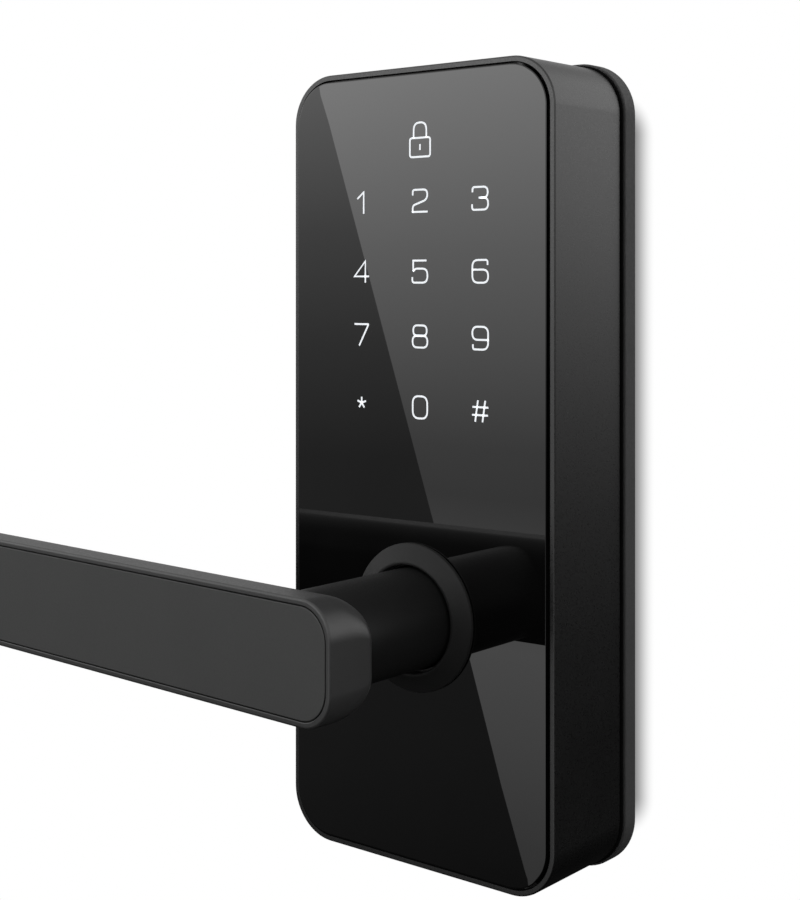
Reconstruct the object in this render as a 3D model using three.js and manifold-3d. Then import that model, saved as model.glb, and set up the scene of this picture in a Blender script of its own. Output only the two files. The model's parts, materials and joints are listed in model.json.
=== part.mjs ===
// Keypad smart lock, outside unit: touch-keypad escutcheon with its lever, clutch and door posts.
// Millimetres, +Z up. Origin: spindle axis on the door face. +X is right as seen from outside the
// door and +Y points into the door, so everything outside the door has a negative Y.
import * as THREE from 'three';
import { mergeVertices } from 'three/addons/utils/BufferGeometryUtils.js';
import Module from 'manifold-3d';

const wasm = await Module();
wasm.setup();

// ---------------------------------------------------------------- driving dimensions
const PANEL_W = 66.4;
const PANEL_H = 160;
const PANEL_R = 10;
const PANEL_Z = 30; // height of the panel's centre above the spindle axis
const WALL = 2;
const GAP = 0.3; // running and fitting gap between neighbouring pieces

// depth stack, from the door outwards
const GASKET_FRONT = -0.8;
const PLATE_BACK = -1.1;
const PLATE_FRONT = -5;
const SEAL_BACK = -5.2;
const SEAL_FRONT = -5.5;
const HOUSING_BACK = -5.7;
const RIM_FRONT = -28.7;
const GLASS_FRONT = RIM_FRONT - 0.6;
const GLASS_BACK = GLASS_FRONT + 1.5;
const WEB_FRONT = RIM_FRONT + 1.4;
const WEB_BACK = WEB_FRONT + 1.7;

const RIM_W = 1.2;
const GLASS_GAP = 0.4;
const PLATE_OVERHANG = 0.8; // the mounting plate stands out past the housing all round
const PLATE_EDGE = 0.4;

// keypad
const KEY_COLUMNS = [-13.8, 1.4, 16.3];
const KEY_ROWS = [42, 56, 69, 83];
const WINDOW_W = 50;
const WINDOW_LOW = 37.5;
const WINDOW_HIGH = 99.5;
const WINDOW_Z = (WINDOW_LOW + WINDOW_HIGH) / 2;

// lever
const LEVER_OUT = 43; // front face to rim, measured on the spindle axis
const LEVER_LEAN = THREE.MathUtils.degToRad(3.3); // the grip leans towards the door
const LEVER_H = 22.8;
const LEVER_TIP = -112;
const LEVER_BUTT = 16.4;
const LEVER_CORNER = 7;
const GRIP_DEPTH = 11.5; // the grip is flat in front and D-shaped behind
const GRIP_SIDE_ROUND = 7;
const GRIP_END_ROUND = 2;
const GRIP_FRONT_ROUND = 0.5;
const INLAY_EDGE = 1.35;
const INLAY_DEPTH = 1.2;
const NECK_R = 10;
const NECK_END = -20;

// mechanism
const HUB_DISC_R = 16.2;
const BARREL_R = 10.4;
const BARREL_BORE = 7.95;
const SPINDLE_HUB_R = 7.6;
const SPINDLE_SIZE = 8;
const SPINDLE_END = 34;
const CLUTCH_Y = -11;
const MOTOR_Z = 31;
const CAM_THROW = 1.1;
const CASSETTE_R = 23;
const CASSETTE_WALL = 2.5;
const POST_X = 19;
const POST_TOP_Z = 98;
const POST_END = 24;
const CABLE_Z = 19.5;
const CORNER_SCREW_X = 25;
const CORNER_SCREWS_Z = [-44, 104.4];
const CASSETTE_SCREW_X = 26.2;

// ---------------------------------------------------------------- solids
function solid(geometry) {
  const bare = new THREE.BufferGeometry();
  bare.setAttribute('position', geometry.getAttribute('position').clone());
  if (geometry.index) bare.setIndex(geometry.index.clone());
  const merged = mergeVertices(bare, 1e-4);
  const points = merged.getAttribute('position').array;
  const index = Array.from(merged.index.array);
  const kept = [];
  for (let i = 0; i < index.length; i += 3) {
    const [a, b, c] = index.slice(i, i + 3);
    if (a !== b && b !== c && c !== a) kept.push(a, b, c);
  }
  if (signedVolume(points, kept) < 0) {
    for (let i = 0; i < kept.length; i += 3) {
      [kept[i + 1], kept[i + 2]] = [kept[i + 2], kept[i + 1]];
    }
  }
  return new wasm.Manifold(new wasm.Mesh({
    numProp: 3,
    vertProperties: new Float32Array(points),
    triVerts: new Uint32Array(kept),
  }));
}

function signedVolume(points, index) {
  let volume = 0;
  const corner = [new THREE.Vector3(), new THREE.Vector3(), new THREE.Vector3()];
  for (let i = 0; i < index.length; i += 3) {
    corner.forEach((v, k) => v.fromArray(points, index[i + k] * 3));
    volume += corner[0].dot(corner[1].clone().cross(corner[2])) / 6;
  }
  return volume;
}

function cut(body, ...tools) {
  return tools.reduce((left, tool) => left.subtract(tool), body);
}

function join(body, ...more) {
  return more.reduce((sum, piece) => sum.add(piece), body);
}

function toGeometry(body) {
  const mesh = body.getMesh();
  const geometry = new THREE.BufferGeometry();
  const points = new Float32Array(mesh.vertProperties);
  geometry.setAttribute('position', new THREE.BufferAttribute(points, 3));
  geometry.setIndex(new THREE.BufferAttribute(new Uint32Array(mesh.triVerts), 1));
  geometry.computeVertexNormals();
  return geometry;
}

// rounded rectangle in X and Z, with its centre at (x, z)
function roundedRect(width, height, radius, x = 0, z = 0) {
  const shape = new THREE.Shape();
  const hw = width / 2;
  const hh = height / 2;
  shape.absarc(x + hw - radius, z + hh - radius, radius, 0, Math.PI / 2, false);
  shape.absarc(x - hw + radius, z + hh - radius, radius, Math.PI / 2, Math.PI, false);
  shape.absarc(x - hw + radius, z - hh + radius, radius, Math.PI, 1.5 * Math.PI, false);
  shape.absarc(x + hw - radius, z - hh + radius, radius, 1.5 * Math.PI, 2 * Math.PI, false);
  shape.closePath();
  return shape;
}

// an X-Z outline extruded along Y from yFront (outer, more negative) to yBack
function slab(shape, yFront, yBack, bevel = 0, arcSteps = 4) {
  const depth = yBack - yFront - 2 * bevel;
  const geometry = new THREE.ExtrudeGeometry(shape, {
    depth,
    curveSegments: arcSteps,
    bevelEnabled: bevel > 0,
    bevelThickness: bevel,
    bevelSize: bevel,
    bevelOffset: -bevel,
    bevelSegments: 2,
  });
  geometry.rotateX(Math.PI / 2);
  geometry.translate(0, yBack - bevel, 0);
  return solid(geometry);
}

function box(x0, x1, y0, y1, z0, z1) {
  const geometry = new THREE.BoxGeometry(x1 - x0, y1 - y0, z1 - z0);
  geometry.translate((x0 + x1) / 2, (y0 + y1) / 2, (z0 + z1) / 2);
  return solid(geometry);
}

// a cylinder along Y, with its axis at (x, z)
function rod(radius, yFront, yBack, x = 0, z = 0, segments = 32) {
  const geometry = new THREE.CylinderGeometry(radius, radius, yBack - yFront, segments);
  geometry.translate(x, (yFront + yBack) / 2, z);
  return solid(geometry);
}

// a cylinder along Z, with its axis at (x, y)
function upright(radius, z0, z1, x, y, segments = 20) {
  const geometry = new THREE.CylinderGeometry(radius, radius, z1 - z0, segments);
  geometry.rotateX(Math.PI / 2);
  geometry.translate(x, y, (z0 + z1) / 2);
  return solid(geometry);
}

function tube(outer, inner, yFront, yBack, x = 0, z = 0, segments = 40) {
  const bore = rod(inner, yFront - 1, yBack + 1, x, z, segments);
  return cut(rod(outer, yFront, yBack, x, z, segments), bore);
}

// [radius, y] pairs turned about the Y axis; the profile closes on itself
function turned(profile, segments = 48) {
  const points = profile.map(([r, y]) => new THREE.Vector2(r, y));
  points.push(points[0].clone());
  return solid(new THREE.LatheGeometry(points, segments));
}

// part of a ring about the Y axis between two angles in degrees, 0 at +X and 90 at +Z
function sector(inner, outer, from, to, yFront, yBack, arcSteps = 6) {
  const start = THREE.MathUtils.degToRad(from);
  const end = THREE.MathUtils.degToRad(to);
  const shape = new THREE.Shape();
  shape.absarc(0, 0, outer, start, end, false);
  shape.absarc(0, 0, inner, end, start, true);
  shape.closePath();
  return slab(shape, yFront, yBack, 0, arcSteps);
}

// convex outlines stacked along Y: levels are { y, side, end } from front to back, where side and
// end are the insets of the long edges and of the two ends
function cushion(x0, x1, height, corner, levels, arcSteps = 4) {
  const rings = levels.map(({ y, side, end }) => {
    const shape = roundedRect(
      x1 - x0 - 2 * end,
      height - 2 * side,
      Math.max(corner - 0.7 * side, 0.4),
      (x0 + x1) / 2,
    );
    return shape.getPoints(arcSteps).slice(0, -1).map((p) => new THREE.Vector3(p.x, y, p.y));
  });
  const count = rings[0].length;
  const positions = rings.flat().flatMap((p) => [p.x, p.y, p.z]);
  const index = [];
  for (let level = 0; level + 1 < rings.length; level += 1) {
    for (let i = 0; i < count; i += 1) {
      const a = level * count + i;
      const b = level * count + ((i + 1) % count);
      index.push(a, b, a + count, b, b + count, a + count);
    }
  }
  const last = (rings.length - 1) * count;
  for (let i = 1; i + 1 < count; i += 1) {
    index.push(0, i + 1, i, last, last + i, last + i + 1);
  }
  const geometry = new THREE.BufferGeometry();
  geometry.setAttribute('position', new THREE.BufferAttribute(new Float32Array(positions), 3));
  geometry.setIndex(index);
  return solid(geometry);
}

// how far a rounding of this radius, at the far side of a piece, has come in at this depth
function roundInset(radius, depth, y) {
  const past = Math.max(y - (depth - radius), 0);
  return radius - Math.sqrt(Math.max(radius ** 2 - past ** 2, 0));
}

function gripLevels() {
  const levels = [];
  for (const a of [0, Math.PI / 4, Math.PI / 2]) {
    const inset = GRIP_FRONT_ROUND * (1 - Math.sin(a));
    levels.push({ y: GRIP_FRONT_ROUND * (1 - Math.cos(a)), side: inset, end: inset });
  }
  const steps = 8;
  for (let i = 0; i <= steps; i += 1) {
    const a = (i / steps) * (Math.PI / 2);
    const y = GRIP_DEPTH - GRIP_SIDE_ROUND * (1 - Math.sin(a));
    levels.push({
      y,
      side: roundInset(GRIP_SIDE_ROUND, GRIP_DEPTH, y),
      end: roundInset(GRIP_END_ROUND, GRIP_DEPTH, y),
    });
  }
  return levels;
}

// lever solids are drawn flat, then leaned and moved out to the grip
function onGrip(body) {
  const leaned = body.rotate([0, 0, -THREE.MathUtils.radToDeg(LEVER_LEAN)]);
  return leaned.translate([0, RIM_FRONT - LEVER_OUT, 0]);
}

// ---------------------------------------------------------------- node list
const lock = new THREE.Group();
lock.name = 'keypad_smart_lock';

const FINISH = {
  coat: { color: 0x2a2a2b, roughness: 0.45, metalness: 0.55 },
  glass: { color: 0x050505, roughness: 0.08, metalness: 0.0 },
  zinc: { color: 0x8f9194, roughness: 0.42, metalness: 0.85 },
  steel: { color: 0xb7b9bc, roughness: 0.3, metalness: 1.0 },
  rubber: { color: 0x121212, roughness: 0.9, metalness: 0.0 },
  plastic: { color: 0x1b1c1e, roughness: 0.6, metalness: 0.0 },
  board: { color: 0x14502c, roughness: 0.55, metalness: 0.0 },
  diffuser: { color: 0xe9eaec, roughness: 0.5, metalness: 0.0 },
  flex: { color: 0xb2701c, roughness: 0.4, metalness: 0.0 },
  acetal: { color: 0x1c1c1d, roughness: 0.5, metalness: 0.0 },
};

function add(name, body, finish) {
  const mesh = new THREE.Mesh(toGeometry(body), new THREE.MeshStandardMaterial(FINISH[finish]));
  mesh.name = name;
  lock.add(mesh);
}

// ---------------------------------------------------------------- plate, gaskets and posts
function panelOutline(grow) {
  return roundedRect(PANEL_W + 2 * grow, PANEL_H + 2 * grow, PANEL_R + grow, 0, PANEL_Z);
}

function panelFrame(outerGrow, innerGrow, yFront, yBack) {
  const opening = slab(panelOutline(innerGrow), yFront - 1, yBack + 1);
  return cut(slab(panelOutline(outerGrow), yFront, yBack), opening);
}

function cornerScrewPlaces() {
  return CORNER_SCREWS_Z.flatMap((z) => [-CORNER_SCREW_X, CORNER_SCREW_X].map((x) => [x, z]));
}

function postPlaces() {
  return [
    ['post_left', -POST_X, 0],
    ['post_right', POST_X, 0],
    ['post_top', 0, POST_TOP_Z],
  ];
}

function makeBackPlate() {
  let plate = slab(panelOutline(PLATE_OVERHANG), PLATE_FRONT, PLATE_BACK, PLATE_EDGE);
  plate = cut(plate, rod(12.5, PLATE_FRONT - 1, 1), rod(5.3, PLATE_FRONT - 1, 1, 0, CABLE_Z, 24));
  for (const [, x, z] of postPlaces()) {
    plate = cut(plate, rod(4.2, PLATE_FRONT - 1, 1, x, z, 24));
  }
  for (const [x, z] of cornerScrewPlaces()) {
    plate = cut(
      plate,
      rod(1.8, PLATE_FRONT - 1, 1, x, z, 16),
      rod(3.2, PLATE_BACK - 2, 1, x, z, 20),
    );
  }
  for (const x of [-CASSETTE_SCREW_X, CASSETTE_SCREW_X]) {
    plate = cut(plate, rod(1.7, PLATE_FRONT - 1, PLATE_BACK - 0.8, x, 0, 16));
  }
  const pocket = slab(roundedRect(44, 46, 4, 0, 62), PLATE_BACK - 1.6, 1);
  return cut(plate, pocket);
}

function makePost(x, z) {
  const post = join(
    rod(3.9, PLATE_FRONT - 0.5, POST_END, x, z, 28),
    rod(5.4, PLATE_FRONT - 1.3, PLATE_FRONT - 0.3, x, z, 6),
  );
  return cut(post, rod(2.1, POST_END - 18, POST_END + 1, x, z, 20));
}

function makeGrommet() {
  return turned([
    [3.2, -5.9],
    [6.4, -5.9],
    [6.4, -5.25],
    [5.05, -5.25],
    [5.05, -0.85],
    [6.2, -0.85],
    [6.2, -0.25],
    [3.2, -0.25],
  ], 28).translate([0, 0, CABLE_Z]);
}

add('door_gasket', panelFrame(-0.9, -6, GASKET_FRONT, 0), 'rubber');
add('back_plate', makeBackPlate(), 'coat');
add('housing_seal', panelFrame(PLATE_OVERHANG - PLATE_EDGE, -WALL, SEAL_FRONT, SEAL_BACK), 'rubber');
add('cable_grommet', makeGrommet(), 'rubber');
for (const [name, x, z] of postPlaces()) {
  add(name, makePost(x, z), 'steel');
}

// ---------------------------------------------------------------- housing and glass
const PORT = { y: -17, w: 9.4, t: 3.6, depth: 7.6 };

// the opening behind the keys, made smaller by the margin
function windowOutline(margin, radius) {
  const height = WINDOW_HIGH - WINDOW_LOW - 2 * margin;
  return roundedRect(WINDOW_W - 2 * margin, height, radius, 0, WINDOW_Z);
}

function makeHousing() {
  let shell = slab(panelOutline(0), RIM_FRONT, HOUSING_BACK, 0.35);
  shell = cut(
    shell,
    slab(panelOutline(-WALL), WEB_BACK, HOUSING_BACK + 1),
    slab(panelOutline(-RIM_W), RIM_FRONT - 1, WEB_FRONT),
    slab(windowOutline(0, 2), WEB_FRONT - 1, WEB_BACK + 1),
    rod(13.1, WEB_FRONT - 1, WEB_BACK + 1),
  );
  for (const [x, z] of cornerScrewPlaces()) {
    shell = join(shell, rod(3.6, WEB_BACK - 0.5, HOUSING_BACK, x, z, 20));
    shell = cut(shell, rod(1.75, -19, HOUSING_BACK + 1, x, z, 14));
  }
  for (const [x, z] of carrierScrewPlaces()) {
    shell = cut(shell, rod(1.25, WEB_BACK - 1.3, WEB_BACK + 1, x, z, 12));
  }
  const portSlot = box(
    -PORT.w / 2 - GAP, PORT.w / 2 + GAP,
    PORT.y - PORT.t / 2 - GAP, PORT.y + PORT.t / 2 + GAP,
    PANEL_Z - PANEL_H / 2 - 1, PANEL_Z - PANEL_H / 2 + WALL + 1,
  );
  return cut(shell, portSlot);
}

function carrierScrewPlaces() {
  return [44, 93].flatMap((z) => [-27.6, 27.6].map((x) => [x, z]));
}

function makeGlass() {
  const pane = slab(panelOutline(-RIM_W - GLASS_GAP), GLASS_FRONT, GLASS_BACK, 0.2);
  return cut(pane, rod(13.1, GLASS_FRONT - 1, GLASS_BACK + 1));
}

function makeAdhesive() {
  const front = GLASS_BACK + 0.15;
  const back = WEB_FRONT - 0.15;
  const pad = slab(panelOutline(-RIM_W - 1.2), front, back);
  return cut(pad, slab(windowOutline(-1.5, 3), front - 1, back + 1), rod(14.5, front - 1, back + 1));
}

add('front_housing', makeHousing(), 'coat');
add('touch_glass', makeGlass(), 'glass');
add('glass_adhesive', makeAdhesive(), 'rubber');

// ---------------------------------------------------------------- keypad electronics
const GUIDE_FRONT = GLASS_BACK + 0.3;
const BOARD_FRONT = GUIDE_FRONT + 1.3;
const CARRIER_FRONT = BOARD_FRONT + 1.5;
const CARRIER_BACK = CARRIER_FRONT + 1.8;
const CONTROL_FRONT = -18;
const CONTROL_BACK = CONTROL_FRONT + 1.6;
const CONTROL_SCREW_X = 21;
const CONTROL_SCREW_Z = 72;

function windowPlate(yFront, yBack) {
  return slab(windowOutline(0.4, 1.5), yFront, yBack, 0, 2);
}

function keyPlaces() {
  return KEY_ROWS.flatMap((z) => KEY_COLUMNS.map((x) => [x, z]));
}

function makeLightGuide() {
  let guide = windowPlate(GUIDE_FRONT, GUIDE_FRONT + 1);
  for (const [x, z] of keyPlaces()) {
    guide = cut(guide, rod(2.2, GUIDE_FRONT - 1, GUIDE_FRONT + 2, x, z, 12));
  }
  return guide;
}

function makeTouchBoard() {
  let board = windowPlate(BOARD_FRONT, BOARD_FRONT + 1.2);
  for (const [x, z] of keyPlaces()) {
    const lamp = box(x - 0.8, x + 0.8, BOARD_FRONT - 0.8, BOARD_FRONT + 0.2, z - 0.8, z + 0.8);
    board = join(board, lamp);
  }
  return board;
}

function makeCarrier() {
  const opening = roundedRect(30, 34, 2, 0, WINDOW_Z - 4);
  let carrier = slab(roundedRect(59, 61, 2.5, 0, WINDOW_Z), CARRIER_FRONT, CARRIER_BACK, 0, 2);
  carrier = cut(carrier, slab(opening, CARRIER_FRONT - 1, CARRIER_BACK + 1, 0, 2));
  for (const [x, z] of carrierScrewPlaces()) {
    carrier = cut(carrier, rod(1.3, CARRIER_FRONT - 1, CARRIER_BACK + 1, x, z, 12));
  }
  for (const x of [-CONTROL_SCREW_X, CONTROL_SCREW_X]) {
    carrier = join(carrier, rod(2.6, CARRIER_BACK - 0.4, CONTROL_FRONT - GAP, x, CONTROL_SCREW_Z, 16));
    carrier = cut(carrier, rod(1.3, CARRIER_BACK, CONTROL_FRONT + 1, x, CONTROL_SCREW_Z, 12));
  }
  return carrier;
}

function makeControlBoard() {
  let board = slab(roundedRect(50, 48, 1.5, 0, 68), CONTROL_FRONT, CONTROL_BACK, 0, 2);
  const chips = [
    [-6, 4, 84, 90, 1.2],
    [-18, -10, 76, 84, 1.1],
    [8, 14, 74, 78, 1.6],
    [-4, 2, 64, 68, 1],
    [16, 19, 84, 90, 2],
  ];
  for (const [x0, x1, z0, z1, tall] of chips) {
    board = join(board, box(x0, x1, CONTROL_BACK - 0.2, CONTROL_BACK + tall, z0, z1));
  }
  for (const x of [-CONTROL_SCREW_X, CONTROL_SCREW_X]) {
    board = cut(board, rod(1.3, CONTROL_FRONT - 1, CONTROL_BACK + 1, x, CONTROL_SCREW_Z, 12));
  }
  return board;
}

function makeCableSocket() {
  const front = CONTROL_BACK + GAP;
  const shell = box(-15, -5, front, front + 6.5, 47, 53);
  return cut(shell, box(-14.2, -5.8, front + 1.5, front + 8, 47.8, 52.2));
}

function makeBuzzer() {
  const front = CONTROL_BACK + GAP;
  return cut(rod(6, front, front + 4.2, 13, 54, 28), rod(1, front + 2, front + 5, 13, 54, 12));
}

// a flat ribbon folded from the touch board round the carrier's edge to the control board
function makeRibbon() {
  const front = BOARD_FRONT + 1.2 + 0.15;
  const back = CONTROL_FRONT - 0.2;
  const low = 60;
  const thick = 0.25;
  const path = new THREE.Shape();
  path.moveTo(front, low + 8);
  path.lineTo(front, low);
  path.lineTo(back - thick, low - 4);
  path.lineTo(back - thick, low - 10);
  path.lineTo(back, low - 10);
  path.lineTo(back, low - 4 + thick);
  path.lineTo(front + thick, low + thick);
  path.lineTo(front + thick, low + 8);
  path.closePath();
  const geometry = new THREE.ExtrudeGeometry(path, { depth: 12, bevelEnabled: false });
  // shape x is depth and shape y is height; the ribbon's width runs along X
  geometry.applyMatrix4(new THREE.Matrix4().makeBasis(
    new THREE.Vector3(0, 1, 0),
    new THREE.Vector3(0, 0, 1),
    new THREE.Vector3(1, 0, 0),
  ));
  geometry.translate(-6, 0, 0);
  return solid(geometry);
}

// a screw along Y: the head is at yHead and the shank runs to yTip
function makeScrew(x, z, yHead, yTip, headR, shankR, headH) {
  const way = Math.sign(yTip - yHead);
  const under = yHead + way * headH;
  const between = (radius, y0, y1, segments) => (
    rod(radius, Math.min(y0, y1), Math.max(y0, y1), x, z, segments)
  );
  const head = between(headR, yHead, under, 18);
  const shank = between(shankR, under - way * 0.2, yTip, 14);
  const socket = between(headR * 0.45, yHead - way, yHead + way * headH * 0.5, 6);
  return cut(join(head, shank), socket);
}

add('light_guide', makeLightGuide(), 'diffuser');
add('touch_board', makeTouchBoard(), 'board');
add('board_carrier', makeCarrier(), 'plastic');
carrierScrewPlaces().forEach(([x, z], i) => {
  const screw = makeScrew(x, z, CARRIER_BACK + 1.3, WEB_BACK - 1, 1.9, 1, 1.1);
  add(`carrier_screw_${i + 1}`, screw, 'steel');
});
add('flex_ribbon', makeRibbon(), 'flex');
add('control_board', makeControlBoard(), 'board');
[-CONTROL_SCREW_X, CONTROL_SCREW_X].forEach((x, i) => {
  const screw = makeScrew(x, CONTROL_SCREW_Z, CONTROL_BACK + 1.3, CARRIER_BACK + 0.5, 1.9, 1, 1.1);
  add(`board_screw_${i + 1}`, screw, 'steel');
});
add('buzzer', makeBuzzer(), 'plastic');
add('cable_socket', makeCableSocket(), 'diffuser');

function makePort() {
  const low = PANEL_Z - PANEL_H / 2 + 0.4;
  const body = box(
    -PORT.w / 2, PORT.w / 2,
    PORT.y - PORT.t / 2, PORT.y + PORT.t / 2,
    low, low + PORT.depth,
  );
  const mouth = box(-4.2, 4.2, PORT.y - 1.3, PORT.y + 1.3, low - 1, low + 6);
  const tongue = box(-3.3, 3.3, PORT.y - 0.35, PORT.y + 0.35, low + 0.8, low + 6.2);
  return join(cut(body, mouth), tongue);
}

add('emergency_port', makePort(), 'steel');
cornerScrewPlaces().forEach(([x, z], i) => {
  const screw = makeScrew(x, z, PLATE_BACK - 0.2, -16, 2.8, 1.45, 1.5);
  add(`housing_screw_${i + 1}`, screw, 'steel');
});

// ---------------------------------------------------------------- rose ring and neck bearing
const RING_R = 14.8;
const RING_BORE = 10.7;
const RING_FRONT = RIM_FRONT - 3;
const SLEEVE_R = 12.7;
const SLEEVE_BORE = 12;
const SLEEVE_BACK = -23.4;

function makeRing() {
  const seat = GLASS_FRONT - 0.2;
  return turned([
    [RING_BORE, RING_FRONT],
    [RING_BORE + 0.5, RING_FRONT],
    [RING_R, seat - 0.5],
    [RING_R, seat],
    [SLEEVE_R, seat],
    [SLEEVE_R, SLEEVE_BACK],
    [SLEEVE_BORE, SLEEVE_BACK],
    [SLEEVE_BORE, seat - 0.4],
    [RING_BORE, seat - 0.4],
  ]);
}

function makeRingNut() {
  const hex = rod(16.2, WEB_BACK + 0.3, SLEEVE_BACK + 0.2, 0, 0, 6);
  return cut(hex, rod(SLEEVE_R + 0.25, WEB_BACK - 1, SLEEVE_BACK + 1, 0, 0, 48));
}

add('ring_bezel', makeRing(), 'coat');
add('ring_nut', makeRingNut(), 'zinc');
add(
  'neck_bushing',
  tube(SLEEVE_BORE - 0.25, NECK_R + 0.35, GLASS_FRONT - 0.2, SLEEVE_BACK, 0, 0, 48),
  'acetal',
);
add(
  'thrust_washer',
  tube(14.6, NECK_R + 0.35, SLEEVE_BACK + 0.3, SLEEVE_BACK + 0.9),
  'steel',
);

// ---------------------------------------------------------------- lever
const CLIP_FRONT = SLEEVE_BACK + 1.2;
const CLIP_BACK = CLIP_FRONT + 1;
const SHANK_R = 7;
const SHANK_FRONT = -47;
const GRUB_Y = -43;

// the grip's front outline, made smaller by the inset
function gripOutline(inset) {
  const length = LEVER_BUTT - LEVER_TIP - 2 * inset;
  const centreX = (LEVER_TIP + LEVER_BUTT) / 2;
  return roundedRect(length, LEVER_H - 2 * inset, LEVER_CORNER - inset, centreX);
}

function makeLever() {
  const bar = cushion(LEVER_TIP, LEVER_BUTT, LEVER_H, LEVER_CORNER, gripLevels());
  const pocket = slab(gripOutline(INLAY_EDGE - 0.2), -1, INLAY_DEPTH);
  const grip = onGrip(cut(bar, pocket));
  const neck = rod(NECK_R, RIM_FRONT - LEVER_OUT + 4, NECK_END, 0, 0, 48);
  const clipGroove = cut(
    rod(NECK_R + 2, CLIP_FRONT - 0.2, CLIP_BACK + 0.2, 0, 0, 40),
    rod(9.1, CLIP_FRONT - 1, CLIP_BACK + 1, 0, 0, 40),
  );
  const bore = rod(SHANK_R + GAP, SHANK_FRONT - 0.5, NECK_END + 1, 0, 0, 36);
  const grubHole = upright(2.2, -NECK_R - 1, -SHANK_R + 1, 0, GRUB_Y, 16);
  return cut(join(grip, neck), clipGroove, bore, grubHole);
}

function makeInlay() {
  return onGrip(slab(gripOutline(INLAY_EDGE), 0.05, INLAY_DEPTH - 0.2));
}

function makeClip() {
  const ring = tube(12.6, 9.4, CLIP_FRONT, CLIP_BACK, 0, 0, 40);
  const mouth = box(-2.2, 2.2, CLIP_FRONT - 1, CLIP_BACK + 1, 5, 15);
  return cut(ring, mouth);
}

function makeDriveHub() {
  const discFront = NECK_END + 0.4;
  const discBack = discFront + 2;
  let hub = join(
    rod(SHANK_R, SHANK_FRONT, discFront + 0.5, 0, 0, 36),
    rod(HUB_DISC_R, discFront, discBack, 0, 0, 48),
    rod(BARREL_R, discBack - 0.5, -7, 0, 0, 40),
    sector(HUB_DISC_R - 1, 19.6, -99, -81, discFront, discBack + 0.6, 2),
  );
  hub = cut(hub, rod(BARREL_BORE, -17, 0, 0, 0, 36));
  return cut(hub, upright(1.75, 4, BARREL_R + 3, 0, CLUTCH_Y, 16));
}

add('lever_handle', makeLever(), 'coat');
add('lever_inlay', makeInlay(), 'coat');
add('grub_screw', cut(
  upright(1.85, -9.8, -SHANK_R - GAP, 0, GRUB_Y, 16),
  upright(0.9, -11, -8.7, 0, GRUB_Y, 6),
), 'steel');
add('retaining_clip', makeClip(), 'steel');
add('drive_hub', makeDriveHub(), 'zinc');

// ---------------------------------------------------------------- return spring and its cassette
const SPRING_R = 12.4;
const SPRING_WIRE = 0.5;
const SPRING_FRONT = -16.7;
const SPRING_PITCH = 1.15;
const SPRING_TURNS = 2.5;
const SPRING_START = THREE.MathUtils.degToRad(-70);
const SPRING_LEG = 4.2;

class TorsionSpring extends THREE.Curve {
  getPoint(t, target = new THREE.Vector3()) {
    const legs = 0.08;
    const turn = THREE.MathUtils.clamp((t - legs) / (1 - 2 * legs), 0, 1);
    const out = Math.max(legs - t, t - (1 - legs), 0) / legs;
    const angle = SPRING_START + turn * SPRING_TURNS * 2 * Math.PI;
    const radius = SPRING_R + SPRING_LEG * out;
    const y = SPRING_FRONT + turn * SPRING_TURNS * SPRING_PITCH;
    return target.set(radius * Math.cos(angle), y, radius * Math.sin(angle));
  }
}

function makeSpring() {
  const section = new THREE.Shape().absarc(0, 0, SPRING_WIRE, 0, 2 * Math.PI, false);
  const geometry = new THREE.ExtrudeGeometry(section, {
    steps: 66,
    curveSegments: 3,
    extrudePath: new TorsionSpring(),
  });
  return solid(geometry);
}

function makeCassette() {
  const front = NECK_END - 0.4;
  const back = PLATE_FRONT - 1.8;
  let cup = cut(
    rod(CASSETTE_R, front, back, 0, 0, 48),
    rod(CASSETTE_R - CASSETTE_WALL, front - 1, back - 1.8, 0, 0, 48),
    rod(BARREL_R + 0.5, back - 3, back + 1, 0, 0, 40),
  );
  for (const x of [-CASSETTE_SCREW_X, CASSETTE_SCREW_X]) {
    const root = x - Math.sign(x) * 6;
    const ear = join(
      rod(3.4, back - 1.8, back, x, 0, 20),
      box(Math.min(x, root), Math.max(x, root), back - 1.8, back, -3.4, 3.4),
    );
    cup = cut(join(cup, ear), rod(1.7, back - 3, back + 1, x, 0, 14));
  }
  cup = join(
    cup,
    sector(17.2, CASSETTE_R - 1, -116, -101, front, back - 1, 2),
    sector(17.2, CASSETTE_R - 1, -29, -14, front, back - 1, 2),
  );
  return cut(cup, box(-6, 6, CLUTCH_Y - 3.2, CLUTCH_Y + 2.2, CASSETTE_R - 8, CASSETTE_R + 2));
}

add('return_spring', makeSpring(), 'steel');
add('spring_cassette', makeCassette(), 'zinc');
[-CASSETTE_SCREW_X, CASSETTE_SCREW_X].forEach((x, i) => {
  const screw = makeScrew(x, 0, PLATE_FRONT - 5.2, PLATE_BACK - 1.2, 2.7, 1.4, 1.4);
  add(`cassette_screw_${i + 1}`, screw, 'steel');
});

// ---------------------------------------------------------------- clutch and spindle
function makeSpindleHub() {
  const front = -16.6;
  const back = -6.6;
  const half = SPINDLE_SIZE / 2 + 0.15;
  return cut(
    rod(SPINDLE_HUB_R, front, back, 0, 0, 36),
    box(-half, half, front + 1.5, back + 1, -half, half),
    upright(1.8, 6.4, SPINDLE_HUB_R + 2, 0, CLUTCH_Y, 16),
  );
}

function makeSpindle() {
  const half = SPINDLE_SIZE / 2 - 0.1;
  return cut(
    box(-half, half, -14.8, SPINDLE_END, -half, half),
    box(-0.5, 0.5, SPINDLE_END - 16, SPINDLE_END + 1, -half - 1, half + 1),
  );
}

function makePin() {
  return join(
    upright(1.4, 6.75, 11.5, 0, CLUTCH_Y, 16),
    upright(1.9, 11.1, 12.3, 0, CLUTCH_Y, 16),
  );
}

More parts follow.
